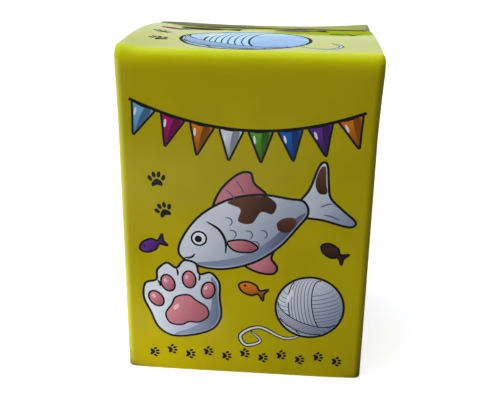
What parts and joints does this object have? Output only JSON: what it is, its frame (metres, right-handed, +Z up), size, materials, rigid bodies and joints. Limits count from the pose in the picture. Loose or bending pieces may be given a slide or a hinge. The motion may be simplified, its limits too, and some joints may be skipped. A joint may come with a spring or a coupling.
{
  "type": "boxed treat-dispensing pet toy",
  "caption": "Weighted treat-dispensing mouse toy in its closed yellow retail carton, with a hinged lid, dust flaps and a screw-apart treat chamber.",
  "frame": {"origin": "middle of the carton's foot, on the surface it stands on", "axes": "+Z up, the printed front faces -Y, +X to the right seen from the front"},
  "size_m": [0.09, 0.084, 0.1247],
  "materials": {
    "printed_board": "varnished print, satin",
    "bare_board": "bare greyish-white board, matt",
    "white_plastic": "moulded, glossy",
    "pink_plastic": "moulded, satin",
    "black_plastic": "moulded, glossy",
    "grey_plastic": "moulded, matt",
    "ballast_steel": "stamped, dull",
    "screw_steel": "zinc-plated",
    "seal_rubber": "matt",
    "whisker_nylon": "nylon bristle"
  },
  "bodies": {
    "carton": {"carton_sleeve": "printed_board", "glue_seam_flap": "bare_board", "bottom_panel": "bare_board", "bottom_flap_left": "bare_board", "bottom_flap_right": "bare_board", "bottom_glue_flap": "bare_board"},
    "lid_panel": {"lid": "printed_board"},
    "tuck": {"tuck_flap": "printed_board"},
    "left_flap": {"dust_flap_left": "bare_board"},
    "right_flap": {"dust_flap_right": "bare_board"},
    "toy_base": {"base_bowl": "white_plastic", "ballast_weight": "ballast_steel", "ballast_cover": "grey_plastic", "cover_screw_1": "screw_steel", "cover_screw_2": "screw_steel", "cover_screw_3": "screw_steel"},
    "seal": {"seal_ring": "seal_rubber"},
    "toy_upper": {"upper_shell": "white_plastic", "ear_left": "white_plastic", "ear_right": "white_plastic", "ear_pad_left": "pink_plastic", "ear_pad_right": "pink_plastic", "eye_left": "black_plastic", "eye_right": "black_plastic", "nose": "pink_plastic", "whisker_left_1": "whisker_nylon", "whisker_left_2": "whisker_nylon", "whisker_left_3": "whisker_nylon", "whisker_right_1": "whisker_nylon", "whisker_right_2": "whisker_nylon", "whisker_right_3": "whisker_nylon"}
  },
  "joints": [
    {"name": "lid_hinge", "type": "hinge", "parent": "carton", "child": "lid_panel", "pos_m": [0, -0.0414, 0.1229], "axis": [1, 0, 0], "range_deg": [0, 225]},
    {"name": "tuck_hinge", "type": "hinge", "parent": "lid_panel", "child": "tuck", "pos_m": [0, 0.04086, 0.12326], "axis": [1, 0, 0], "range_deg": [0, 45]},
    {"name": "dust_flap_left_hinge", "type": "hinge", "parent": "carton", "child": "left_flap", "pos_m": [-0.04455, 0, 0.12215], "axis": [0, -1, 0], "range_deg": [0, 225]},
    {"name": "dust_flap_right_hinge", "type": "hinge", "parent": "carton", "child": "right_flap", "pos_m": [0.04455, 0, 0.12215], "axis": [0, 1, 0], "range_deg": [0, 225]},
    {"name": "toy_lift", "type": "slide", "parent": "carton", "child": "toy_base", "axis": [0, 0, 1], "range_m": [0, 0.125]},
    {"name": "body_twist", "type": "hinge", "parent": "toy_base", "child": "seal", "pos_m": [0, 0.0015, 0.019], "axis": [0, 0, 1], "range_deg": [0, 90]},
    {"name": "body_rise", "type": "slide", "parent": "seal", "child": "toy_upper", "axis": [0, 0, 1], "range_m": [0, 0.004]}
  ],
  "couplings": [
    {"joint": "lid_hinge", "follows": "toy_lift", "rad_per_m": 31.416},
    {"joint": "tuck_hinge", "follows": "toy_lift", "rad_per_m": 6.2832},
    {"joint": "dust_flap_left_hinge", "follows": "toy_lift", "rad_per_m": 31.416},
    {"joint": "dust_flap_right_hinge", "follows": "toy_lift", "rad_per_m": 31.416},
    {"joint": "body_rise", "follows": "body_twist", "m_per_rad": 0.0025464}
  ]
}
